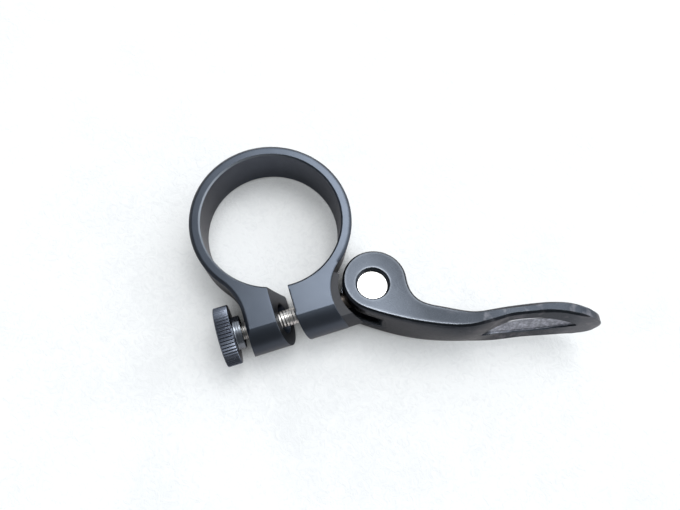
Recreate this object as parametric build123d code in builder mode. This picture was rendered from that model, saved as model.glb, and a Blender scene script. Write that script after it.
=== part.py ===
from build123d import *
import math
import os

os.makedirs("parts", exist_ok=True)

# Quick-release seatpost clamp, in millimetres.
# Z is the bore axis, X the bolt axis from thumb nut to lever, and the lugs stand out towards -Y.
# The origin is the bore's centre at half the ring's height. The lever is open.

# Split ring
bore_d = 34.9
ring_wall = 2.75
ring_height = 13.4
bore_chamfer = 0.4
edge_chamfer = 0.7

# Lugs, and the slanted slot between them
bolt_stand_off = 3.8        # bolt axis outside the ring's outer wall
nut_lug_inset = 7.3         # nut's seat face inside the ring's end
nut_lug_blend = 14.0        # hollow blend from the nut's lug into the ring
nose_crease = 0.1           # nose radius over half the ring's height
slot_width = 4.9
slot_shift = -1.26          # slot centre from the bore centre, at half height
slot_lean = 17.2            # degrees from upright
nut_hole_clear = 1.8        # radial room round the bolt in the nut's lug
lever_hole_clear = 0.4      # the same in the lever's lug and in the washer

# Bolt and pivot barrel
bolt_d = 4.2
bolt_end_chamfer = 0.5
bolt_end_inset = 0.6        # bolt end inside the nut's outer face
bolt_overrun = 2.9          # bolt end past the barrel's centre
barrel_d = 7.6
barrel_inset = 1.3          # barrel end below the lever's cheek
barrel_chamfer = 0.15
running_fit = 0.05          # radial clearance of turning fits

# Thumb nut
knob_d = 14.7
knob_width = 3.5
knob_chamfer = 0.2
knurl_count = 56
knurl_depth = 0.3
boss_d = 9.2
boss_length = 1.95
nut_slack = 1.3             # boss to lug while the lever is open

# Cam and saddle washer
cam_r = 7.9
cam_throw = 1.1             # cam centre off the barrel's centre
cam_lobe = 45.0             # direction of the throw in the open lever, degrees from +X
open_gap = 1.25             # cam to washer while the lever is open
washer_thickness = 2.25
washer_height = 10.4
washer_back = 40.0          # the saddle's reach about the barrel towards the ring, degrees
washer_front = 58.0         # the same towards the nose
washer_inset = 0.1          # washer's outline inside the lug's nose
washer_bed = 0.02           # washer to its seat
cup_r = 9.0
cup_rise = 0.8              # cup's centre off the bolt's line, towards the ring
seat_bite = 0.15            # how far the washer's seat cuts into the ring's outer wall

# Lever
lever_height = 13.0
lever_roll = 9.0            # roll about the bolt while the lever lies open
lever_close = 118.0         # swing from open to closed
lever_bevel = 0.5
fork_cheek_clear = 0.4      # bolt to the fork's cheeks
fork_side_clear = 0.5       # bolt to the fork's side wall when closed
hole_bevel = 0.4
tip_round = 7.5             # length of the rounded tip, seen from the front
tip_drop = 0.8              # its foremost point below mid height

# Stations along the arm's outer face at half height, from the barrel: x, y, heading in degrees,
# thickness, lean of the face from half height to each cheek, and fall of its crown at the cheeks
arm_stations = [
    (11.4, -15.5, -28.0, 5.6, 0.0, 0.7),
    (20.3, -18.7, -14.0, 4.5, 0.2, 1.1),
    (27.4, -18.6, -9.0, 2.35, 1.4, 0.0),
    (33.7, -19.7, -12.5, 2.3, 1.5, 0.0),
    (40.8, -21.6, -17.0, 2.55, 1.3, 0.0),
    (45.0, -23.2, -20.0, 2.45, 0.7, 0.0),
    (48.3, -24.5, -21.0, 1.75, 0.3, 0.0),
]
inner_lean = 0.65           # lean of the inner face as a share of the outer one's
tip_centre = (51.35, -24.95)
tip_r = 0.65
tip_lean = 0.2
tip_outer_heading = -16.0
tip_inner_heading = -42.0
root_angle = 232.0          # where the arm's outer face leaves the cam, degrees about the cam's centre
crook_angle = -12.0         # where the arm's inner face leaves it
window_edge = 0.1           # end wall of the fork's front window, along X from the barrel

# Leaf-shaped pocket in the paddle's outer face
pocket_length = 24.4
pocket_tip_rim = 6.5        # pocket's end to the lever's tip
pocket_half_height = 3.1
pocket_belly = 0.45         # widest place, as a share of the pocket's length from its point
pocket_depth = 0.9

# Values worked out from the sizes above
bore_r = bore_d / 2
ring_r = bore_r + ring_wall
half_height = ring_height / 2
nut_lug_reach = ring_r - nut_lug_inset
bolt_y = -(ring_r + bolt_stand_off)
nose_r = half_height + nose_crease
cam_open_r = cam_r + cam_throw * math.cos(math.radians(180 - cam_lobe))
cup_reach = cam_open_r + open_gap
cup_x = math.sqrt(cup_r ** 2 - cup_rise ** 2) - cup_reach
seat_r = cup_reach + washer_thickness
pivot_x = math.sqrt((ring_r + seat_r - seat_bite) ** 2 - bolt_y ** 2)
boss_x = -(nut_lug_reach + nut_slack)
knob_inner_x = boss_x - boss_length
knob_outer_x = knob_inner_x - knob_width
knob_r = knob_d / 2
barrel_r = barrel_d / 2
bolt_r = bolt_d / 2
half_lever = lever_height / 2
roll = math.radians(lever_roll)
span = 4 * (ring_r + nut_lug_reach)

bolt_axis = Axis((0, bolt_y, 0), (1, 0, 0))
bolt_plane = Plane(origin=(0, bolt_y, 0))
bolt_end_plane = Plane(origin=(0, bolt_y, 0), x_dir=(0, 1, 0), z_dir=(1, 0, 0))
pivot_plane = Plane(origin=(pivot_x, bolt_y, 0))
lever_plane = Plane(
    origin=(pivot_x, bolt_y, 0),
    x_dir=(1, 0, 0),
    z_dir=(0, math.sin(roll), math.cos(roll)),
)


def upright_plane(x, y, heading):
    # A plane square to the lever's plan, with its own X along the heading and Y along the barrel.
    a = math.radians(heading)
    along = lever_plane.x_dir * math.cos(a) + lever_plane.y_dir * math.sin(a)
    outward = lever_plane.x_dir * math.sin(a) - lever_plane.y_dir * math.cos(a)
    return Plane(origin=lever_plane.from_local_coords((x, y, 0)), x_dir=along, z_dir=outward)


def step(point, heading, distance):
    a = math.radians(heading)
    return (point[0] + distance * math.cos(a), point[1] + distance * math.sin(a))


# Clamp band
lug_tip_y = bolt_y - nose_r
blend_x = -(nut_lug_reach + nut_lug_blend)
blend_y = -math.sqrt((ring_r + nut_lug_blend) ** 2 - blend_x ** 2)
with BuildPart() as band:
    with BuildSketch():
        Circle(ring_r)
        with BuildLine():
            Polyline(
                (pivot_x, lug_tip_y),
                (-nut_lug_reach, lug_tip_y),
                (-nut_lug_reach, blend_y),
                (blend_x * ring_r / (ring_r + nut_lug_blend), blend_y * ring_r / (ring_r + nut_lug_blend)),
                (0, 0),
                (pivot_x * ring_r / (ring_r + seat_r), bolt_y * ring_r / (ring_r + seat_r)),
                (pivot_x, lug_tip_y),
            )
        make_face()
        with Locations((blend_x, blend_y)):
            Circle(nut_lug_blend, mode=Mode.SUBTRACT)
    extrude(amount=half_height, both=True)
    rims = band.faces().filter_by(Axis.Z).edges().filter_by(GeomType.CIRCLE)
    chamfer(rims, length=edge_chamfer)
    # Seat of the saddle washer
    with BuildSketch(pivot_plane):
        Circle(seat_r)
    extrude(amount=half_height, both=True, mode=Mode.SUBTRACT)
    # Side view: flat top and bottom, and a round nose about the bolt
    crease_y = bolt_y - math.sqrt(nose_r ** 2 - half_height ** 2)
    with BuildSketch(Plane.YZ):
        with BuildLine():
            Line((crease_y, -half_height), (ring_r, -half_height))
            Line((ring_r, -half_height), (ring_r, half_height))
            Line((ring_r, half_height), (crease_y, half_height))
            ThreePointArc((crease_y, half_height), (lug_tip_y, 0), (crease_y, -half_height))
        make_face()
    extrude(amount=span, both=True, mode=Mode.INTERSECT)
    with BuildSketch():
        Circle(bore_r)
    extrude(amount=half_height, both=True, mode=Mode.SUBTRACT)
    # Slanted slot
    lean = half_height * math.tan(math.radians(slot_lean))
    with BuildSketch(Plane.XZ):
        with BuildLine():
            Polyline(
                (slot_shift - slot_width / 2 - lean, half_height),
                (slot_shift + slot_width / 2 - lean, half_height),
                (slot_shift + slot_width / 2 + lean, -half_height),
                (slot_shift - slot_width / 2 + lean, -half_height),
                (slot_shift - slot_width / 2 - lean, half_height),
            )
        make_face()
    extrude(amount=span, mode=Mode.SUBTRACT)
    with BuildSketch(bolt_end_plane):
        Circle(bolt_r + nut_hole_clear)
    extrude(amount=-span, mode=Mode.SUBTRACT)
    with BuildSketch(bolt_end_plane):
        Circle(bolt_r + lever_hole_clear)
    extrude(amount=span, mode=Mode.SUBTRACT)
    rims = band.faces().filter_by(Axis.Z).edges().filter_by(GeomType.CIRCLE)
    chamfer(rims.filter_by(lambda e: abs(e.radius - bore_r) < bore_chamfer / 10), length=bore_chamfer)
band.part.label = "clamp_band"
export_step(band.part, "parts/clamp_band.step")

# Saddle washer in the lever-side lug's seat
with BuildPart() as washer:
    with BuildSketch(pivot_plane):
        Circle(seat_r - washer_bed)
        with Locations((cup_x, cup_rise)):
            Circle(cup_r, mode=Mode.SUBTRACT)
        with BuildLine():
            Polyline(
                (0, 0),
                step((0, 0), 180 - washer_back, 2 * seat_r),
                step((0, 0), 180 + washer_front, 2 * seat_r),
                (0, 0),
            )
        make_face(mode=Mode.INTERSECT)
    extrude(amount=washer_height / 2, both=True)
    # Outline along the bolt: round in front like the lug's nose, square behind
    with BuildSketch(bolt_end_plane):
        Circle(nose_r - washer_inset)
        with Locations((seat_r / 2, 0)):
            Rectangle(seat_r, washer_height)
    extrude(amount=span, mode=Mode.INTERSECT)
    with BuildSketch(bolt_end_plane):
        Circle(bolt_r + lever_hole_clear)
    extrude(amount=span, mode=Mode.SUBTRACT)
washer.part.label = "cam_washer"
export_step(washer.part, "parts/cam_washer.step")

# Bolt
bolt_start_x = knob_outer_x + bolt_end_inset
bolt_length = pivot_x + bolt_overrun - bolt_start_x
with BuildPart() as bolt:
    with BuildSketch(bolt_end_plane.offset(bolt_start_x)):
        Circle(bolt_r)
    extrude(amount=bolt_length)
    chamfer(bolt.edges().filter_by(GeomType.CIRCLE), length=bolt_end_chamfer)
bolt.part.label = "skewer_bolt"
export_step(bolt.part, "parts/skewer_bolt.step")

# Pivot barrel, cross-drilled for the bolt
with BuildPart() as barrel:
    with BuildSketch(lever_plane):
        Circle(barrel_r)
    extrude(amount=half_lever - barrel_inset, both=True)
    chamfer(barrel.edges().filter_by(GeomType.CIRCLE), length=barrel_chamfer)
    with BuildSketch(bolt_end_plane):
        Circle(bolt_r + running_fit)
    extrude(amount=span, mode=Mode.SUBTRACT)
barrel.part.label = "pivot_barrel"
export_step(barrel.part, "parts/pivot_barrel.step")

# Thumb nut: knurled disc and boss
with BuildPart() as nut:
    with BuildSketch(bolt_plane):
        with BuildLine():
            Polyline(
                (knob_outer_x, bolt_r + running_fit),
                (knob_outer_x, knob_r - knob_chamfer),
                (knob_outer_x + knob_chamfer, knob_r),
                (knob_inner_x - knob_chamfer, knob_r),
                (knob_inner_x, knob_r - knob_chamfer),
                (knob_inner_x, boss_d / 2),
                (boss_x, boss_d / 2),
                (boss_x, bolt_r + running_fit),
                (knob_outer_x, bolt_r + running_fit),
            )
        make_face()
    revolve(axis=bolt_axis)
    with BuildSketch(bolt_end_plane.offset(knob_outer_x)):
        with PolarLocations(knob_r, knurl_count):
            RegularPolygon(radius=knurl_depth, side_count=4)
    extrude(amount=knob_width, mode=Mode.SUBTRACT)
nut.part.label = "thumb_nut"
export_step(nut.part, "parts/thumb_nut.step")

# Lever: cam head, fork and arm
cam_centre = step((0, 0), cam_lobe, cam_throw)
root = step(cam_centre, root_angle, cam_r)
crook = step(cam_centre, crook_angle, cam_r)
tip_outer = step(tip_centre, tip_outer_heading - 90, tip_r)
tip_inner = step(tip_centre, tip_inner_heading + 90, tip_r)
tip_sweep = tip_inner_heading - tip_outer_heading + 180
tip_point = step(tip_centre, tip_outer_heading, tip_r)
tip_plane = upright_plane(*tip_point, tip_outer_heading)
with BuildPart() as pocket:
    # A floor that follows the outer face and leans with it, cut to a leaf outline in the front view
    paddle = arm_stations[1:]
    for side in [-1, 1]:
        floor_points = [
            step((x, y), heading + 90, pocket_depth + side * lean)
            for x, y, heading, thick, lean, crown in paddle
        ]
        floor_points.append(step(tip_outer, tip_outer_heading + 90, pocket_depth + side * tip_lean))
        floor_start = floor_points[0]
        floor_end = floor_points[-1]
        with BuildSketch(lever_plane.offset(side * half_lever)):
            with BuildLine():
                Spline(
                    floor_points,
                    tangents=[step((0, 0), paddle[0][2], 1), step((0, 0), tip_outer_heading, 1)],
                )
                Polyline(floor_end, (floor_end[0], -span), (floor_start[0], -span), floor_start)
            make_face()
    loft()
    leaf_end = (-pocket_tip_rim, 0)
    leaf_point = (-pocket_tip_rim - pocket_length, 0)
    leaf_belly = (leaf_point[0] + pocket_belly * pocket_length, pocket_half_height)
    with BuildSketch(tip_plane):
        with BuildLine():
            Spline(leaf_point, leaf_belly, leaf_end, tangents=[(1, 0.3), (0, -1)])
            Line(leaf_end, leaf_point)
        make_face()
        mirror(about=Plane.XZ)
    extrude(amount=span, both=True, mode=Mode.INTERSECT)

with BuildPart() as lever:
    # Plan outlines at the lower cheek, at half height and at the upper cheek
    for side in [-1, 0, 1]:
        outer_points = [
            step((x, y), heading + 90, side * lean + side ** 2 * crown)
            for x, y, heading, thick, lean, crown in arm_stations
        ]
        inner_points = [
            step((x, y), heading + 90, thick + side * lean * inner_lean)
            for x, y, heading, thick, lean, crown in arm_stations
        ]
        tip_shift = side * tip_lean
        with BuildSketch(lever_plane.offset(side * half_lever)):
            with BuildLine():
                CenterArc(cam_centre, cam_r, crook_angle, root_angle - crook_angle)
                Spline(
                    [root] + outer_points + [step(tip_outer, tip_outer_heading + 90, tip_shift)],
                    tangents=[step((0, 0), root_angle + 90, 1), step((0, 0), tip_outer_heading, 1)],
                )
                CenterArc(
                    step(tip_centre, tip_outer_heading + 90, tip_shift),
                    tip_r,
                    tip_outer_heading - 90,
                    tip_sweep,
                )
                Spline(
                    [step(tip_inner, tip_outer_heading + 90, tip_shift)] + inner_points[::-1] + [crook],
                    tangents=[step((0, 0), tip_inner_heading + 180, 1), step((0, 0), crook_angle + 90, 1)],
                )
            make_face()
    loft()
    cheeks = lever.faces().sort_by(Axis(lever_plane.origin, lever_plane.z_dir))
    chamfer(cheeks[0].edges() + cheeks[-1].edges(), length=lever_bevel)
    # Barrel hole with bevelled rims
    with BuildSketch(lever_plane):
        Circle(barrel_r + running_fit)
    extrude(amount=half_lever, both=True, mode=Mode.SUBTRACT)
    rims = lever.edges().filter_by(GeomType.CIRCLE)
    rims = rims.filter_by(lambda e: abs(e.radius - barrel_r - running_fit) < running_fit)
    chamfer(rims, length=hole_bevel)
    # Fork gap: free from the front window round to the bolt's place in the closed lever
    side = bolt_r + fork_side_clear
    shut = 180 - lever_close
    side_start_y = (window_edge * math.sin(math.radians(shut)) - side) / math.cos(math.radians(shut))
    side_end = step((window_edge, side_start_y), shut, span)
    with BuildSketch(lever_plane):
        with BuildLine():
            Polyline(
                (window_edge, -span),
                (window_edge, side_start_y),
                side_end,
                (-span, side_end[1]),
                (-span, -span),
                (window_edge, -span),
            )
        make_face()
    extrude(amount=bolt_r + fork_cheek_clear, both=True, mode=Mode.SUBTRACT)
    # Tip rounded in the front view: two quarter ellipses that meet at its foremost point
    ease = 4 / 3 * (math.sqrt(2) - 1)
    with BuildSketch(tip_plane):
        with BuildLine():
            Polyline(
                (-tip_round, half_lever),
                (-tip_round, lever_height),
                (-span, lever_height),
                (-span, -lever_height),
                (-tip_round, -lever_height),
                (-tip_round, -half_lever),
            )
            Bezier(
                (-tip_round, half_lever),
                ((ease - 1) * tip_round, half_lever),
                (0, ease * (half_lever + tip_drop) - tip_drop),
                (0, -tip_drop),
            )
            Bezier(
                (0, -tip_drop),
                (0, -ease * (half_lever - tip_drop) - tip_drop),
                ((ease - 1) * tip_round, -half_lever),
                (-tip_round, -half_lever),
            )
        make_face()
    extrude(amount=span, both=True, mode=Mode.INTERSECT)
    add(pocket.part, mode=Mode.SUBTRACT)
lever.part.label = "lever"
export_step(lever.part, "parts/lever.step")
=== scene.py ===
import bpy, bmesh
import numpy as np
from mathutils import Matrix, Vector
from types import SimpleNamespace


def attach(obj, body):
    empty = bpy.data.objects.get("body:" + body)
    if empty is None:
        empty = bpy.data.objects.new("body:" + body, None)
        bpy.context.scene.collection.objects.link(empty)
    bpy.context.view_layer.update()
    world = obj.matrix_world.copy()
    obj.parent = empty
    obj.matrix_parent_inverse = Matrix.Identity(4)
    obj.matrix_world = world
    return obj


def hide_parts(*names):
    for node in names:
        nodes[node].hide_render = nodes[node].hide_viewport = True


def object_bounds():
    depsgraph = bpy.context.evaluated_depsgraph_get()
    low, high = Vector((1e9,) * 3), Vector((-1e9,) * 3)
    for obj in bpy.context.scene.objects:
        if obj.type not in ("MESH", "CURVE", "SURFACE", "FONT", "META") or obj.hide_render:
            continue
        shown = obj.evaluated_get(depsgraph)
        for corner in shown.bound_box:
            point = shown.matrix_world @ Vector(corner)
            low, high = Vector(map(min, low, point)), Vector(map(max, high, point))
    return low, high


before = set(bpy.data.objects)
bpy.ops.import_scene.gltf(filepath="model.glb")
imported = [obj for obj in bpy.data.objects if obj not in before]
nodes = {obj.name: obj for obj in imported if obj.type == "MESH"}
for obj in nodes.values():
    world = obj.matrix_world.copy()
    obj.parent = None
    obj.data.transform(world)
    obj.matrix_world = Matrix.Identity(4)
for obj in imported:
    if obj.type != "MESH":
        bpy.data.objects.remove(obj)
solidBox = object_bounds()
mm = 0.001
boltY = -24.0  # bolt axis, mm
print("stage: solids loaded", sorted(nodes))


def unit(way):
    return np.array(way) / np.linalg.norm(way)


# camera or lamp from its right, up and back directions and its place
def stand(name, data, right, up, back, spot):
    turn = np.eye(4)
    turn[:3, 0], turn[:3, 1], turn[:3, 2], turn[:3, 3] = right, up, back, spot
    holder = bpy.data.objects.new(name, data)
    holder.matrix_world = Matrix(turn.tolist())
    bpy.context.scene.collection.objects.link(holder)
    return holder


# camera of the photograph: where it stands, and its right and up directions
shot = {
    "spot": (-0.005954, -0.045665, 0.126447),
    "right": (0.949628, -0.30449, 0.074111),
    "up": (0.272028, 0.918353, 0.287453),
    "lens": 27.0, "sensor": 36.0, "nearest": 0.005,
}


def placeCamera():
    eye = bpy.data.cameras.new("photoCamera")
    eye.lens, eye.sensor_width, eye.clip_start = shot["lens"], shot["sensor"], shot["nearest"]
    right, up = shot["right"], shot["up"]
    bpy.context.scene.camera = stand("photoCamera", eye, right, up, np.cross(right, up), shot["spot"])


placeCamera()
bpy.context.scene.view_settings.view_transform = "Standard"


# short ways to add nodes to one tree, each giving back the socket that goes on
def nodeTools(tree):
    tree.nodes.clear()

    # kind, inputs by name or place, and settings
    def add(kind, inputs=None, **settings):
        node = tree.nodes.new("ShaderNode" + kind)
        for key, value in settings.items():
            setattr(node, key, value)
        for key, value in (inputs or {}).items():
            if isinstance(value, bpy.types.NodeSocket):
                tree.links.new(value, node.inputs[key])
            else:
                node.inputs[key].default_value = value
        return node

    def maths(operation, *values):
        return add("Math", dict(enumerate(values)), operation=operation).outputs["Value"]

    def product(first, *others):
        for other in others:
            first = maths("MULTIPLY", first, other)
        return first

    def ramp(value, start, stop, low=0.0, high=1.0, **settings):
        ends = {"Value": value, "From Min": start, "From Max": stop, "To Min": low, "To Max": high}
        return add("MapRange", ends, **settings).outputs["Result"]

    # Mix has its sockets at other places for each kind of data
    def blend(kind, share, first, second):
        a, b, out = {"FLOAT": (2, 3, 0), "VECTOR": (4, 5, 1), "RGBA": (6, 7, 2)}[kind]
        return add("Mix", {0: share, a: first, b: second}, data_type=kind).outputs[out]

    def tint(share, first, second):
        first, second = [(*c, 1) if isinstance(c, tuple) else c for c in (first, second)]
        return blend("RGBA", share, first, second)

    def noise(place, scale, detail, rough=0.5, twist=0.0):
        grain = {"Vector": place, "Scale": scale, "Detail": detail, "Roughness": rough, "Distortion": twist}
        return add("TexNoise", grain).outputs["Fac"]

    def split(vector):
        return add("SeparateXYZ", {"Vector": vector}).outputs

    def dot(a, b):
        return add("VectorMath", {0: a, 1: b}, operation="DOT_PRODUCT").outputs["Value"]

    def length(vector):
        return add("VectorMath", {0: vector}, operation="LENGTH").outputs["Value"]

    def scaled(vector, amount):
        return add("VectorMath", {0: vector, "Scale": amount}, operation="SCALE").outputs["Vector"]

    def times(a, b):
        return add("VectorMath", {0: a, 1: b}, operation="MULTIPLY").outputs["Vector"]

    def rounded(radius, samples):
        return add("Bevel", {"Radius": radius}, samples=samples).outputs["Normal"]

    def facing(vector, start, end):
        turn = {"vector_type": "NORMAL", "convert_from": start, "convert_to": end}
        return add("VectorTransform", {"Vector": vector}, **turn).outputs["Vector"]

    return SimpleNamespace(
        add=add, maths=maths, product=product, ramp=ramp, blend=blend, tint=tint, noise=noise, split=split,
        dot=dot, length=length, scaled=scaled, times=times, rounded=rounded, facing=facing,
    )


def newSkin(name):
    skin = bpy.data.materials.new(name)
    skin.use_nodes = True
    return skin, nodeTools(skin.node_tree)


# the room: soft panel overhead and behind, pale walls, the photographer's side and the left darker
room = {
    "walls": 1.3, "wallTint": (0.94, 0.97, 1.0),
    "frontShade": 0.2, "frontTowards": (-0.35, -0.8, 0.48), "frontSpan": (0.3, 0.8),
    "leftShade": 0.3, "leftTowards": (-0.85, 0.5, 0.2), "leftSpan": (0.35, 0.85),
    "rightGlow": 0.9, "rightTowards": (0.75, 0.05, 0.65), "rightSpan": (0.7, 0.98),
    "panelTowards": (0.23, 0.31, 0.925), "panelAway": 0.8, "panelAcross": 0.4, "panelPower": 2.1,
    "panelTint": (1.0, 0.99, 0.975),
}


def lightRoom():
    world = bpy.data.worlds.new("room")
    bpy.context.scene.world = world
    world.use_nodes = True
    n = nodeTools(world.node_tree)
    way = n.add("TexCoord").outputs["Generated"]

    # level from one wall to another as the way looked comes round to a direction
    def wash(towards, span, low, high):
        level = n.dot(way, tuple(unit(towards)))
        return n.ramp(level, *span, low, high, interpolation_type="SMOOTHSTEP")

    front = wash(room["frontTowards"], room["frontSpan"], room["walls"], room["frontShade"])
    left = wash(room["leftTowards"], room["leftSpan"], room["walls"], room["leftShade"])
    right = wash(room["rightTowards"], room["rightSpan"], 0.0, room["rightGlow"])
    level = n.maths("ADD", n.maths("MINIMUM", front, left), right)
    glow = n.add("Background", {"Color": (*room["wallTint"], 1), "Strength": level}).outputs["Background"]
    # the eye sees plain white beyond the cloth
    plain = n.add("Background", {"Color": (1, 1, 1, 1), "Strength": 1.0}).outputs["Background"]
    seen = n.add("MixShader", {0: n.add("LightPath").outputs["Is Camera Ray"], 1: glow, 2: plain})
    n.add("OutputWorld", {"Surface": seen.outputs["Shader"]})

    lamp = bpy.data.lights.new("overheadPanel", "AREA")
    lamp.shape, lamp.size, lamp.energy = "DISK", room["panelAcross"], room["panelPower"]
    lamp.color = room["panelTint"]
    back = unit(room["panelTowards"])
    side = unit(np.cross((0, 1, 0), back))
    stand("overheadPanel", lamp, side, np.cross(back, side), back, back * room["panelAway"])


# white cloth that everything lies on
cloth = {
    "dark": (0.87, 0.885, 0.895), "light": (0.962, 0.975, 0.98), "toneSpan": (0.14, 0.3), "half": 1.6,
    "tuftScale": 45.0, "tuftDetail": 3.0,
    "pileScale": 420.0, "pileDetail": 5.0, "pileRough": 0.6, "pileTwist": 1.6,
    "pileBump": 0.22, "pileDepth": 0.001,
    # gapReach to gapShade: painted shade in narrow gaps
    "gapReach": 0.014, "gapSamples": 8, "gapSpan": (0.15, 0.5), "gapShade": 0.04,
    # this line: painted shade on the cloth in reflections, and the white share for the eye
    "mirrored": (0.72, 0.68, 0.67), "glow": 0.26, "glowTint": (0.97, 0.995, 1.0),
}


def layCloth():
    skin, n = newSkin("whiteCloth")
    # soft pile: fine strands over larger tufts
    place = n.add("TexCoord").outputs["Object"]
    tuft = n.noise(place, cloth["tuftScale"], cloth["tuftDetail"])
    pile = n.noise(place, cloth["pileScale"], cloth["pileDetail"], cloth["pileRough"], cloth["pileTwist"])
    wool = n.tint(n.ramp(n.product(tuft, pile), *cloth["toneSpan"]), cloth["dark"], cloth["light"])
    # painted shade: the cloth goes darker in narrow gaps between the pieces, by ambient occlusion
    reach, samples = {"Distance": cloth["gapReach"]}, cloth["gapSamples"]
    crowd = n.add("AmbientOcclusion", reach, samples=samples).outputs["AO"]
    clear = n.ramp(crowd, *cloth["gapSpan"], cloth["gapShade"])
    wool = n.scaled(wool, clear)
    # painted shade in reflections: where the metal reflects it, the cloth's colour is dimmed by the mirrored
    # tint
    path = n.add("LightPath").outputs
    wool = n.blend("VECTOR", path["Is Glossy Ray"], wool, n.times(wool, cloth["mirrored"]))
    relief = {"Height": pile, "Strength": cloth["pileBump"], "Distance": cloth["pileDepth"]}
    bump = n.add("Bump", relief).outputs["Normal"]
    lit = n.add("BsdfDiffuse", {"Color": wool, "Normal": bump}).outputs["BSDF"]
    plain = n.add("Emission", {"Color": (*cloth["glowTint"], 1), "Strength": 1.0}).outputs["Emission"]
    # a share of plain white for the eye alone, as the photograph is overexposed
    share = n.product(path["Is Camera Ray"], cloth["glow"], clear)
    white = n.add("MixShader", {0: share, 1: lit, 2: plain})
    n.add("OutputMaterial", {"Surface": white.outputs["Shader"]})

    sheet = bpy.data.meshes.new("floor")
    half, low = cloth["half"], solidBox[0][2]
    corners = [(-half, -half, low), (half, -half, low), (half, half, low), (-half, half, low)]
    sheet.from_pydata(corners, [], [(0, 1, 2, 3)])
    sheet.materials.append(skin)
    floor = bpy.data.objects.new("floor", sheet)
    bpy.context.scene.collection.objects.link(floor)


lightRoom()
layCloth()
print("stage: camera, light and floor")


# what all anodised pieces share; a span is the two ends of a ramp
anodised = {
    "cloudDetail": 4.0, "cloudRough": 0.55, "grainDetail": 2.0, "grainRough": 0.6, "grainSpan": (0.3, 0.7),
    "rimSpan": (0.995, 0.93), "patchSpan": (0.42, 0.62), "patchLeast": 0.2, "edgeSamples": 4, "roundSamples": 8,
}


# anodised aluminium: dark dyed skin over bead-blasted metal, cloudy in the large,
# fine grain in the small, and paler where edges are rubbed; marks adds what one piece alone has
def anodisedSkin(name, look, marks=None):
    skin, n = newSkin(name)
    place = n.add("TexCoord").outputs["Object"]
    cloud = n.noise(place, look["cloudScale"], anodised["cloudDetail"], anodised["cloudRough"])
    grain = n.noise(place, look["grainScale"], anodised["grainDetail"], anodised["grainRough"])
    soft = n.rounded(look["edge"], anodised["edgeSamples"])
    rim = n.ramp(n.dot(soft, n.add("NewGeometry").outputs["Normal"]), *anodised["rimSpan"])
    patch = n.ramp(cloud, *anodised["patchSpan"], anodised["patchLeast"])
    dye = n.tint(cloud, look["dark"], look["light"])
    dye = n.tint(n.product(rim, patch, look["wear"]), dye, look["bare"])
    spread = look["glossSpread"]
    gloss = n.ramp(grain, *anodised["grainSpan"], look["gloss"] - spread, look["gloss"] + spread)
    if marks:
        dye, gloss, soft = marks(n, look, place, dye, gloss, soft)
    relief = {"Height": grain, "Strength": look["grainBump"], "Distance": look["grainDepth"]}
    bump = n.add("Bump", {**relief, "Normal": soft}).outputs["Normal"]
    shell = n.add("BsdfPrincipled", {"Base Color": dye, "Roughness": gloss, "Normal": bump})
    shell.inputs["Metallic"].default_value = look.get("metal", 1.0)
    n.add("OutputMaterial", {"Surface": shell.outputs["BSDF"]})
    return skin


# what both steel pieces share
steel = {
    "cloudDetail": 3.0, "cloudSpan": (0.3, 0.7), "grooveFade": 0.00015,
    "ringWave": {"Distortion": 0.6, "Detail": 2.0, "Detail Scale": 2.0},
}


# bright steel, turned in rings round the bolt or the barrel
def brightSteel(name, look):
    skin, n = newSkin(name)
    place = n.add("TexCoord").outputs["Object"]
    shift = {"Vector": place, "Location": look["shift"], "Rotation": look["turn"]}
    local = n.add("Mapping", shift).outputs["Vector"]
    cloud = n.noise(place, look["cloudScale"], steel["cloudDetail"])
    wave = {"Vector": local, "Scale": look["ringScale"], **steel["ringWave"]}
    rings = n.add("TexWave", wave, wave_type="RINGS", rings_direction=look["ringsAbout"], wave_profile="SIN")
    tone = n.tint(cloud, look["dark"], look["light"])
    if "grooveR" in look:
        # painted shade in the thread's grooves, and painted shade on the end in the fork
        offAxis = n.length(n.times(local, (0, 1, 1)))
        along = n.split(place)["X"]
        sunk = n.ramp(offAxis, look["grooveR"], look["grooveR"] - steel["grooveFade"])
        sunk = n.product(sunk, n.maths("GREATER_THAN", along, look["grooveFrom"]))
        tone = n.tint(sunk, tone, look["groove"])
        tone = n.tint(n.maths("GREATER_THAN", along, look["dullFrom"]), tone, look["dull"])
    spread = look["glossSpread"]
    gloss = n.ramp(cloud, *steel["cloudSpan"], look["gloss"] - spread, look["gloss"] + spread)
    rings = rings.outputs["Fac"]
    relief = {"Height": rings, "Strength": look["ringBump"], "Distance": look["ringDepth"]}
    bump = n.add("Bump", relief).outputs["Normal"]
    shell = n.add("BsdfPrincipled", {"Base Color": tone, "Roughness": gloss, "Normal": bump})
    shell.inputs["Metallic"].default_value = 1.0
    n.add("OutputMaterial", {"Surface": shell.outputs["BSDF"]})
    return skin


def dress(name, skin):
    mesh = nodes[name].data
    mesh.materials.clear()
    mesh.materials.append(skin)


# clamp band, m: look alone
band = {
    "dark": (0.053, 0.063, 0.08), "light": (0.075, 0.087, 0.108), "bare": (0.38, 0.41, 0.45),
    "cloudScale": 160.0, "grainScale": 7000.0, "grainBump": 0.25, "grainDepth": 0.00002,
    "gloss": 0.34, "glossSpread": 0.05, "edge": 0.00018, "wear": 0.28,
    "round": 0.00055, "roundFrom": 0.0186, "roundBehind": -0.0244,
    # sideSpan to boreTone: painted light and shade by side, on the lugs and inside the bore
    "sideSpan": (-0.02, 0.019), "leftTone": 0.74, "rightTone": 1.2,
    "lugSpan": (-0.014, -0.02), "lugTone": 1.25,
    "boreR": 0.01745, "boreSlack": 0.0001, "boreTowards": (0.9, 0.43, 0.0), "boreSpan": (-0.008, 0.008),
    "boreTone": 1.7,
    # this line and the next: the painted highlight on the bore's rim
    "rimWide": 0.00043, "rimFull": 0.6, "rimFrom": 0.00628, "rimBare": (0.26, 0.285, 0.32), "rimGloss": 0.45,
    "rubTowards": (-0.87, 0.5, 0.0), "rubHalf": 0.3,
}
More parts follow.
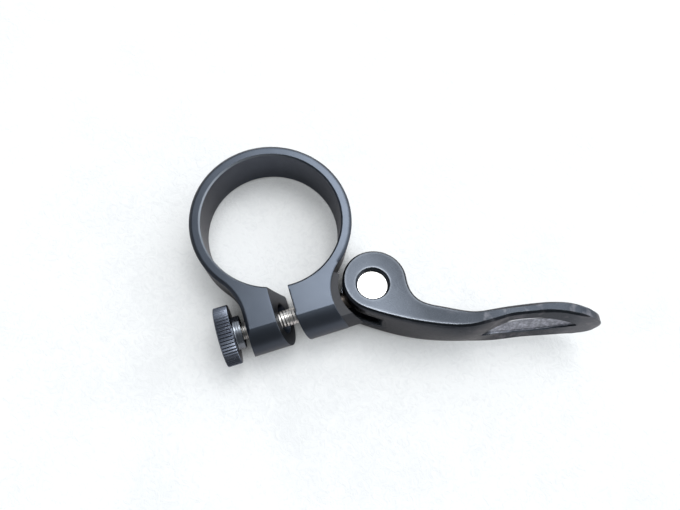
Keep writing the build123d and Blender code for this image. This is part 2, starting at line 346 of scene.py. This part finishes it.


# the ring's outer edges shade rounder than their worn line is wide, the ring carries painted light and shade by
# side and inside its bore, and a painted highlight lies on the bore's rim
def ringMarks(n, look, place, dye, gloss, soft):
    apart = n.split(place)
    across = n.add("CombineXYZ", {"X": apart["X"], "Y": apart["Y"]}).outputs["Vector"]
    out = n.length(across)
    beyond = n.maths("GREATER_THAN", out, look["roundFrom"])
    behind = n.maths("GREATER_THAN", apart["Y"], look["roundBehind"])
    wide = n.rounded(look["round"], anodised["roundSamples"])
    soft = n.blend("VECTOR", n.product(beyond, behind), soft, wide)
    # painted light and shade: paler towards the lever and inside the bore's right and back, and paler on the
    # lugs too
    tone = n.ramp(apart["X"], *look["sideSpan"], look["leftTone"], look["rightTone"])
    tone = n.product(tone, n.ramp(apart["Y"], *look["lugSpan"], 1.0, look["lugTone"]))
    inside = n.maths("LESS_THAN", out, look["boreR"] + look["boreSlack"])
    deep = n.ramp(n.dot(across, look["boreTowards"]), *look["boreSpan"], 1.0, look["boreTone"])
    dye = n.scaled(dye, n.blend("FLOAT", inside, tone, deep))
    # painted highlight on the bore's rim, most on its left and back
    near = n.ramp(out, look["boreR"] + look["rimWide"], look["boreR"] + look["rimFull"] * look["rimWide"])
    top = n.maths("GREATER_THAN", n.maths("ABSOLUTE", apart["Z"]), look["rimFrom"])
    half = look["rubHalf"] * look["boreR"]
    rimHighlight = n.product(near, top, n.ramp(n.dot(across, look["rubTowards"]), -half, half))
    dye = n.tint(rimHighlight, dye, look["rimBare"])
    return dye, n.blend("FLOAT", rimHighlight, gloss, look["rimGloss"]), soft


dress("clamp_band", anodisedSkin("bandBlack", band, ringMarks))

# cam washer, m: look alone
washer = {
    "dark": (0.023, 0.0245, 0.03), "light": (0.042, 0.044, 0.052), "bare": (0.085, 0.09, 0.1),
    "cloudScale": 900.0, "grainScale": 5000.0, "grainBump": 0.35, "grainDepth": 0.00002,
    "gloss": 0.58, "glossSpread": 0.06, "edge": 0.0002, "wear": 0.6, "metal": 0.0,
}
dress("cam_washer", anodisedSkin("washerGrey", washer))

# into the lever's own frame, m and radians: the roll taken out, then the pivot moved to the origin
leverShift, leverTurn = (-0.019099, 0.023705, 0.003754), (0.15708, 0.0, 0.0)

# pivot barrel, m: look alone
barrel = {
    "dark": (0.8, 0.8, 0.79), "light": (0.92, 0.92, 0.91), "cloudScale": 500.0,
    "shift": leverShift, "turn": leverTurn, "ringsAbout": "Z",
    "ringScale": 900.0, "ringBump": 0.1, "ringDepth": 0.00001, "gloss": 0.32, "glossSpread": 0.05,
}
dress("pivot_barrel", brightSteel("barrelSteel", barrel))
print("stage: solids dressed")


weldWithin = 1e-7  # points closer than this are one, m
sharpFrom = 38.0  # edges that turn further than this stay sharp, degrees
tiny = 1e-12  # keeps a division from zero


# rows by columns of points into a mesh, columns wrapping round the bolt; rows wrap where the
# profile is a closed loop, and points that meet on the axis are welded to a pole
def gridPiece(name, points, loop, skin, body, standsFor):
    rows, cols = points.shape[:2]
    i = np.arange(rows if loop else rows - 1)[:, None]
    j = np.arange(cols)[None, :]
    below, beside = (i + 1) % rows, (j + 1) % cols
    quads = [i * cols + j, below * cols + j, below * cols + beside, i * cols + beside]
    quads = np.stack(quads, axis=-1).reshape(-1, 4)
    mesh = bpy.data.meshes.new(name)
    mesh.vertices.add(rows * cols)
    mesh.vertices.foreach_set("co", points.reshape(-1))
    mesh.loops.add(quads.size)
    mesh.loops.foreach_set("vertex_index", quads.reshape(-1))
    mesh.polygons.add(len(quads))
    mesh.polygons.foreach_set("loop_start", np.arange(0, quads.size, 4))
    mesh.update(calc_edges=True)
    shell = bmesh.new()
    shell.from_mesh(mesh)
    bmesh.ops.remove_doubles(shell, verts=shell.verts, dist=weldWithin)
    bmesh.ops.recalc_face_normals(shell, faces=shell.faces)
    shell.to_mesh(mesh)
    shell.free()
    mesh.polygons.foreach_set("use_smooth", np.ones(len(mesh.polygons), dtype=bool))
    mesh.set_sharp_from_angle(angle=np.radians(sharpFrom))
    mesh.materials.append(skin)
    piece = bpy.data.objects.new(name, mesh)
    bpy.context.scene.collection.objects.link(piece)
    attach(piece, body)
    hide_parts(standsFor)


# a surface round the bolt: x along it, y = boltY + r cos a, z = r sin a, for arrays of x and r
def roundBolt(x, r, a):
    x, r, a = np.broadcast_arrays(x, r, a)
    return np.stack([x, boltY + r * np.cos(a), r * np.sin(a)], axis=-1) * mm


# thumb nut: straight-knurled disc and turned boss, its shape in mm and its look in m
nut = {
    "outer": -19.65, "inner": -16.15, "bossEnd": -14.2, "knobR": 7.35, "bossR": 4.1, "holeR": 2.15,
    "rimRound": 0.2, "footRound": 0.35, "leadIn": 0.3, "faceR": 4.0, "shoulderR": 6.0, "roundSteps": 5,
    "ridges": 56, "ridgeDepth": 0.3, "ridgeSteps": 10, "ridgeGain": 1.25, "ridgeFlat": 0.1,
    "rimBelow": 0.15, "rimFade": 0.25, "groovePitch": 0.55, "grooveDepth": 0.012, "grooveSteps": 41,
    "dark": (0.12, 0.135, 0.172), "light": (0.17, 0.189, 0.232), "bare": (0.36, 0.39, 0.43),
    "cloudScale": 260.0, "grainScale": 7000.0, "grainBump": 0.25, "grainDepth": 0.00002,
    "gloss": 0.23, "glossSpread": 0.04, "edge": 0.00012, "wear": 0.4,
    "bossFrom": -0.01612, "bossPale": (0.21, 0.23, 0.26),
}


# the nut's boss is turned bright, without the dye of its knob
def nutMarks(n, look, place, dye, gloss, soft):
    boss = n.maths("GREATER_THAN", n.split(place)["X"], look["bossFrom"])
    return n.tint(boss, dye, look["bossPale"]), gloss, soft


def makeThumbNut():
    v = nut
    quarter = np.linspace(0, np.pi / 2, v["roundSteps"])
    roundX, roundR = v["rimRound"] * (1 - np.cos(quarter)), v["rimRound"] * (1 - np.sin(quarter))
    footX, footR = v["footRound"] * (1 - np.cos(quarter)), v["footRound"] * (1 - np.sin(quarter))
    # turning marks on the boss: r = bossR - grooveDepth (1 - cos(2 pi x / groovePitch)) / 2
    bossX = np.linspace(v["inner"] + v["footRound"], v["bossEnd"] - v["rimRound"], v["grooveSteps"])
    turned = 0.5 - 0.5 * np.cos(2 * np.pi * (bossX - v["bossEnd"]) / v["groovePitch"])
    turned = v["bossR"] - v["grooveDepth"] * turned
    hole = v["holeR"]
    x = np.concatenate([
        [v["bossEnd"], v["bossEnd"] - v["leadIn"], v["outer"] + v["leadIn"], v["outer"], v["outer"]],
        v["outer"] + roundX, v["inner"] - roundX[::-1], [v["inner"]],
        v["inner"] + footX[1:], bossX[1:], v["bossEnd"] - roundX[::-1],
    ])
    r = np.concatenate([
        [hole + v["leadIn"], hole, hole, hole + v["leadIn"], v["faceR"]],
        v["knobR"] - roundR, v["knobR"] - roundR[::-1], [v["shoulderR"]],
        v["bossR"] + footR[1:], turned[1:], v["bossR"] - roundR[::-1],
    ])
    a = np.linspace(0, 2 * np.pi, v["ridges"] * v["ridgeSteps"], endpoint=False)
    # straight knurl: a clipped triangle wave taken off the radius on the rim alone
    wave = np.abs(2 * ((a * v["ridges"] / (2 * np.pi)) % 1) - 1)
    groove = np.clip(v["ridgeGain"] * wave - v["ridgeFlat"], 0, 1)
    onRim = np.clip((r - (v["knobR"] - v["rimRound"] - v["rimBelow"])) / v["rimFade"], 0, 1)
    r = r[:, None] - v["ridgeDepth"] * onRim[:, None] * groove[None, :]
    points = roundBolt(x[:, None], r, a[None, :])
    skin = anodisedSkin("nutBlack", nut, nutMarks)
    gridPiece("knurledNut", points, True, skin, "nut", "thumb_nut")


makeThumbNut()
print("stage: thumb nut")

# bolt: plain shank, rolled thread at the nut's end, its shape in mm and its look in m
bolt = {
    "start": -19.05, "end": 22.0, "shankR": 2.1, "endChamfer": 0.5, "shankSteps": 24, "around": 48,
    "threadEnd": 3.4, "runOut": 1.0, "pitch": 0.8, "threadDepth": 0.11, "perTurn": 8,
    "toothGain": 1.2, "toothFlat": 0.1,
    "dark": (0.76, 0.74, 0.71), "light": (0.95, 0.93, 0.9), "cloudScale": 420.0,
    "shift": (0.0, 0.024, 0.0), "turn": (0.0, 0.0, 0.0), "ringsAbout": "X",
    "ringScale": 700.0, "ringBump": 0.08, "ringDepth": 0.00001, "gloss": 0.34, "glossSpread": 0.06,
    # this line and the next: painted shade in the thread's grooves and on the end in the fork
    "grooveR": 0.00205, "groove": (0.6, 0.54, 0.48), "grooveFrom": -0.0184,
    "dullFrom": 0.008, "dull": (0.11, 0.095, 0.085),
}


def makeBolt():
    v = bolt
    turns = int((v["threadEnd"] - v["start"]) / v["pitch"] * v["perTurn"])
    along = np.concatenate([
        np.linspace(v["start"], v["threadEnd"], turns),
        np.linspace(v["threadEnd"], v["end"] - v["endChamfer"], v["shankSteps"])[1:],
        [v["end"]],
    ])
    a = np.linspace(0, 2 * np.pi, v["around"], endpoint=False)
    # thread: a triangle wave of x over the pitch less the turn, fading out towards the shank
    phase = (along[:, None] / v["pitch"] - a[None, :] / (2 * np.pi)) % 1
    tooth = np.clip(v["toothGain"] * np.abs(2 * phase - 1) - v["toothFlat"], 0, 1)
    fade = np.clip((v["threadEnd"] - along) / v["runOut"], 0, 1)[:, None]
    r = v["shankR"] - v["threadDepth"] * tooth * fade
    # both ends chamfered: the radius never passes the distance from the end plus the flat's radius
    flatR = v["shankR"] - v["endChamfer"]
    r = np.minimum(r, flatR + np.minimum(along - v["start"], v["end"] - along)[:, None])
    x = np.concatenate([[v["start"]], along, [v["end"]]])
    pole = np.zeros((1, v["around"]))
    points = roundBolt(x[:, None], np.concatenate([pole, r, pole]), a[None, :])
    skin = brightSteel("boltSteel", bolt)
    gridPiece("crossBolt", points, False, skin, "skewer", "skewer_bolt")


makeBolt()
print("stage: bolt")

# lever: its shape in mm in its own frame, x from the pivot, y across and z up once the roll is taken out
# (the solid's pocket, the pocket it gets, the bow of its tip and the width of its top), and its look in m
lever = {
    "pivot": (19.0993, -24.0, 0.0), "roll": 9.0,
    "flatTo": 23.0, "face": -18.5, "bend": 0.0175, "bendPower": 1.8,
    "leanAt": (20.3, 27.4, 33.7, 40.8, 45.0, 48.3), "lean": (0.03, 0.215, 0.23, 0.2, 0.108, 0.046),
    "pocketBox": (20.6, 46.6, 5.4), "sunkSpan": (-0.4, 1.4),
    "wallLevel": 0.5, "floorSunk": 0.55, "lipSunk": 0.35, "leastHalf": 0.05, "onPoint": 0.03,
    "cutSkew": 0.28, "solidFrom": 21.1, "solidLong": 24.4, "solidDeep": 0.95,
    "pocketFrom": 21.8, "pocketLong": 24.9, "middle": -0.4, "half": 3.05, "blunt": 0.7,
    "deepTop": 0.95, "deepFoot": 0.52,
    "tipPoint": (51.975, -25.129), "tipHeading": -16.0, "tipMiddle": -0.5, "tipHalf": 1.8,
    "tipBow": 0.45, "tipFade": 2.0,
    "paddleFrom": (21.0, 26.0), "paddleTo": (50.5, 46.0), "backOut": 0.24, "backDeep": (1.3, 1.9),
    "edgeOut": 0.5, "edgeFrom": 2.5, "edgeHigh": 3.5, "edgeDeep": (1.6, 0.6),
    "dark": (0.038, 0.044, 0.054), "light": (0.056, 0.064, 0.077), "bare": (0.28, 0.31, 0.34),
    "cloudScale": 220.0, "grainScale": 6000.0, "grainBump": 0.3, "grainDepth": 0.00002,
    "gloss": 0.3, "glossSpread": 0.06, "edge": 0.0002, "wear": 0.7,
    "sideSpan": (0.6, 0.4), "topSpan": (0.8, 0.93), "round": 0.0026, "roundSpan": (0.0405, 0.033),
    # this line and the next two: painted light and shade on the lever's tops
    "armSpan": (0.019, 0.029), "pale": 1.3, "deep": 0.55, "sideTone": 0.9,
    "palmFrom": (0.041, 0.049), "palmTo": (0.067, 0.058), "palmPale": 0.8,
    "tipSpan": (0.056, 0.068), "tipPale": 1.6,
    # this line and the next: the worn line, partly a painted highlight
    "lineWide": 0.0013, "lineSpan": (0.992, 0.965), "lineBare": (0.19, 0.208, 0.238),
    "lineTowards": (-0.6, -0.8, 0.0), "tiltSpan": (0.0, 0.15), "lineFar": 0.25,
    "handSpan": (0.033, 0.045), "blotchScale": 400.0, "blotchDetail": 2.0, "blotchSpan": (0.5, 0.72),
    "blotch": (0.13, 0.13, 0.145),
    "speckScale": 1050.0, "speckDetail": 3.0, "speckRough": 0.65, "speckSpan": (0.42, 0.68),
    "floorDark": (0.3, 0.318, 0.362), "floorLight": (0.6, 0.625, 0.7), "floorGloss": 0.5,
    # this line and the next two: the painted highlight on the pocket's upper lip
    "lipFrom": 0.0288, "lipTo": 0.038, "lipIn": 0.0012, "lipOut": 0.003, "lipCore": 0.4, "lipFace": -0.2,
    "lipRise": 0.06, "lipBase": 0.00074, "lipWide": 0.0005, "lipThin": 0.0002,
    "lipBare": (0.85, 0.86, 0.88), "lipGloss": 0.35, "lipFacing": (0.1, -0.5, 0.86),
}


# the lever's outer edge is rounder beside the fork and has a worn line that is partly a painted highlight, its
# tops carry painted light and shade, its pocket's floor is much paler, rougher and speckled, and a painted
# highlight runs along the pocket's upper lip as a bare streak
def leverMarks(n, look, place, dye, gloss, soft):
    along = n.split(place)["X"]
    # which way the skin faces, in the lever's own frame, so that the marks swing with it
    shape = n.add("NewGeometry").outputs["Normal"]
    lie = n.split(n.facing(shape, "WORLD", "OBJECT"))
    onSide, onTop = n.ramp(lie["Z"], *look["sideSpan"]), n.ramp(lie["Z"], *look["topSpan"])
    early = n.ramp(along, *look["roundSpan"])
    wide = n.rounded(look["round"], anodised["roundSamples"])
    soft = n.blend("VECTOR", n.product(onSide, early), soft, wide)
    # painted light and shade on the tops: paler round the cam, on the paddle's top and at the tip than along
    # the arm, the sides held at one tone
    tone = n.ramp(along, *look["armSpan"], look["pale"], look["deep"])
    rise = n.ramp(along, *look["palmFrom"])
    fall = n.ramp(along, *look["palmTo"], 0.0, look["palmPale"])
    tone = n.product(tone, n.maths("MULTIPLY_ADD", rise, fall, 1.0))
    tone = n.blend("FLOAT", onTop, look["sideTone"], tone)
    tone = n.product(tone, n.ramp(along, *look["tipSpan"], 1.0, look["tipPale"]))
    dye = n.scaled(dye, tone)
    # a worn line on the cheeks' edge, as far as the rounder edge goes, partly a painted highlight: fainter on
    # the far side
    near = n.rounded(look["lineWide"], anodised["roundSamples"])
    tilt = n.dot(n.facing(near, "WORLD", "OBJECT"), look["lineTowards"])
    tilt = n.ramp(tilt, *look["tiltSpan"], look["lineFar"])
    line = n.product(n.ramp(n.dot(near, shape), *look["lineSpan"]), onTop, early, tilt)
    dye = n.tint(line, dye, look["lineBare"])
    # lighter blotches where the paddle is handled
    blotch = n.ramp(n.noise(place, look["blotchScale"], look["blotchDetail"]), *look["blotchSpan"])
    dye = n.tint(n.product(blotch, n.ramp(along, *look["handSpan"])), dye, look["blotch"])
    # the pocket's floor
    floor = n.add("Attribute", attribute_name="pocket").outputs["Fac"]
    speck = n.noise(place, look["speckScale"], look["speckDetail"], look["speckRough"])
    rough = n.tint(n.ramp(speck, *look["speckSpan"]), look["floorDark"], look["floorLight"])
    dye = n.tint(floor, dye, rough)
    gloss = n.blend("FLOAT", floor, gloss, look["floorGloss"])
    # a painted highlight on the pocket's upper lip: a bare pale streak with its shading normal tipped up, a
    # rising line in the lever's own frame, narrowing outwards
    shift = {"Vector": place, "Location": leverShift, "Rotation": leverTurn}
    own = n.split(n.add("Mapping", shift).outputs["Vector"])
    middle = n.maths("MULTIPLY_ADD", own["X"], look["lipRise"], look["lipBase"])
    apart = n.maths("ABSOLUTE", n.maths("SUBTRACT", own["Z"], middle))
    width = n.ramp(own["X"], look["lipFrom"], look["lipTo"], look["lipWide"], look["lipThin"])
    onLine = n.ramp(n.maths("DIVIDE", apart, width), 1.0, look["lipCore"])
    after = n.ramp(own["X"], look["lipFrom"], look["lipFrom"] + look["lipIn"])
    until = n.ramp(own["X"], look["lipTo"], look["lipTo"] - look["lipOut"])
    outside = n.maths("LESS_THAN", lie["Y"], look["lipFace"])
    lipHighlight = n.product(onLine, after, until, outside)
    dye = n.tint(lipHighlight, dye, look["lipBare"])
    gloss = n.blend("FLOAT", lipHighlight, gloss, look["lipGloss"])
    soft = n.blend("VECTOR", lipHighlight, soft, n.facing(look["lipFacing"], "OBJECT", "WORLD"))
    return dye, gloss, soft


# the solid's skin, with its pocket drawn in to the narrower leaf of the photograph and its floor tipped up,
# its tip bowed out and its paddle's top widened
def makeLever():
    v = lever
    mesh = nodes["lever"].data.copy()
    mesh.name = "castLever"
    corner = np.empty(len(mesh.loops) * 3, dtype=np.float32)
    mesh.corner_normals.foreach_get("vector", corner)
    corner = corner.reshape(-1, 3)
    shell = bmesh.new()
    shell.from_mesh(mesh)
    bmesh.ops.remove_doubles(shell, verts=shell.verts, dist=weldWithin)
    shell.to_mesh(mesh)
    shell.free()
    spots = np.empty(len(mesh.vertices) * 3, dtype=np.float32)
    mesh.vertices.foreach_get("co", spots)
    three = np.empty(len(mesh.loops), dtype=np.int32)
    mesh.loops.foreach_get("vertex_index", three)
    three = three.reshape(-1, 3)

    # turn about the bolt's axis by the roll: own = spots less the pivot, turned
    c, s = np.cos(np.radians(v["roll"])), np.sin(np.radians(v["roll"]))
    turn = np.array([[1, 0, 0], [0, c, -s], [0, s, c]])
    own = (spots.reshape(-1, 3).astype(float) / mm - v["pivot"]) @ turn.T

    # outer face: y = face - bend (x - flatTo)^bendPower + lean(x) z
    def outerFace(x, z):
        curve = v["bend"] * np.clip(x - v["flatTo"], 0, None) ** v["bendPower"]
        return v["face"] - curve + np.interp(x, v["leanAt"], v["lean"]) * z

    def areas(places):
        a, b, d = places[three[:, 0]], places[three[:, 1]], places[three[:, 2]]
        return np.cross(b - a, d - a)

    def share(value, ends):
        return np.clip((value - ends[0]) / (ends[1] - ends[0]), 0, 1)

    # the pocket's wall and floor among the solid's faces
    x, y, z = own.T.copy()
    sunk = y - outerFace(x, z)
    start, stop, high = v["pocketBox"]
    inBox = (x > start) & (x < stop) & (np.abs(z) < high)
    inBox &= (sunk > v["sunkSpan"][0]) & (sunk < v["sunkSpan"][1])
    area = areas(own)
    level = np.abs(area[:, 1]) / np.maximum(np.linalg.norm(area, axis=1), tiny)
    faceIn = inBox[three].all(axis=1)
    wall = faceIn & (level < v["wallLevel"])
    floor = faceIn & (level >= v["wallLevel"]) & (sunk[three].min(axis=1) > v["floorSunk"])
    onWall, onFloor = np.zeros(len(own), dtype=bool), np.zeros(len(own), dtype=bool)
    onWall[three[wall]], onFloor[three[floor]] = True, True

    # straight through the cut: the solid's half height there, and where a point lies between its edges
    through = x - v["cutSkew"] * sunk
    order = np.argsort(through[onWall])
    halfSolid = np.interp(through, through[onWall][order], np.abs(z[onWall])[order])
    onEdge = np.sign(z) * (np.abs(z) > v["onPoint"])
    between = np.where(onWall, onEdge, np.clip(z / np.maximum(halfSolid, v["leastHalf"]), -1, 1))
    # new leaf: z = middle + between half sin(pi t)^blunt, as deep as deepFoot below and deepTop above
    t = np.clip((through - v["solidFrom"]) / v["solidLong"], 0, 1)
    newZ = v["middle"] + between * v["half"] * np.sin(np.pi * t) ** v["blunt"]
    depth = np.clip(sunk / v["solidDeep"], 0, 1) * (sunk > v["lipSunk"])
    deepHere = v["deepFoot"] + (v["deepTop"] - v["deepFoot"]) * (between + 1) / 2
    newSunk = np.where(depth > 0, depth * deepHere, sunk)
    newX = v["pocketFrom"] + t * v["pocketLong"] + v["cutSkew"] * newSunk
    moved = onWall | onFloor
    own[moved] = np.stack([newX, outerFace(newX, newZ) + newSunk, newZ], axis=1)[moved]

    # the flat of the tip's end is bowed out: tipBow (1 - t^2), t from its middle, fading behind the tip
    heading = np.array([np.cos(np.radians(v["tipHeading"])), np.sin(np.radians(v["tipHeading"]))])
    t = np.clip((own[:, 2] - v["tipMiddle"]) / v["tipHalf"], -1, 1)
    behind = -(own[:, :2] - v["tipPoint"]) @ heading
    out = v["tipBow"] * (1 - t ** 2) * np.clip(1 - behind / v["tipFade"], 0, 1)
    own[:, :2] += out[:, None] * heading

    # the paddle's back and its upper front edge stand a little further apart, so that its top is as wide
    # as in the photograph: back by backOut, front by edgeOut ((z - edgeFrom) / edgeHigh)^2
    x, y, z = own.T.copy()
    deep = y - outerFace(x, z)
    back = v["backOut"] * share(deep, v["backDeep"])
    front = v["edgeOut"] * np.clip((z - v["edgeFrom"]) / v["edgeHigh"], 0, 1) ** 2
    front = front * share(deep, v["edgeDeep"])
    own[:, 1] += share(x, v["paddleFrom"]) * share(x, v["paddleTo"]) * (back - front)
    mesh.vertices.foreach_set("co", ((own @ turn + v["pivot"]) * mm).reshape(-1))

    # the pocket's own faces get the normals of their new lie, all others keep the solid's
    area = areas(own) @ turn
    for group in (wall, floor):
        total = np.zeros((len(own), 3))
        for k in range(3):
            np.add.at(total, three[group, k], area[group])
        total /= np.maximum(np.linalg.norm(total, axis=1, keepdims=True), tiny)
        corner.reshape(-1, 3, 3)[group] = total[three[group]]
    mesh.update()
    mesh.normals_split_custom_set(corner.tolist())
    mark = mesh.attributes.new("pocket", "FLOAT", "POINT")
    mark.data.foreach_set("value", onFloor.astype(np.float32))
    mesh.materials.clear()
    mesh.materials.append(anodisedSkin("leverBlack", lever, leverMarks))
    piece = bpy.data.objects.new("castLever", mesh)
    bpy.context.scene.collection.objects.link(piece)
    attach(piece, "lever")
    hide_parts("lever")


makeLever()
print("stage: lever")
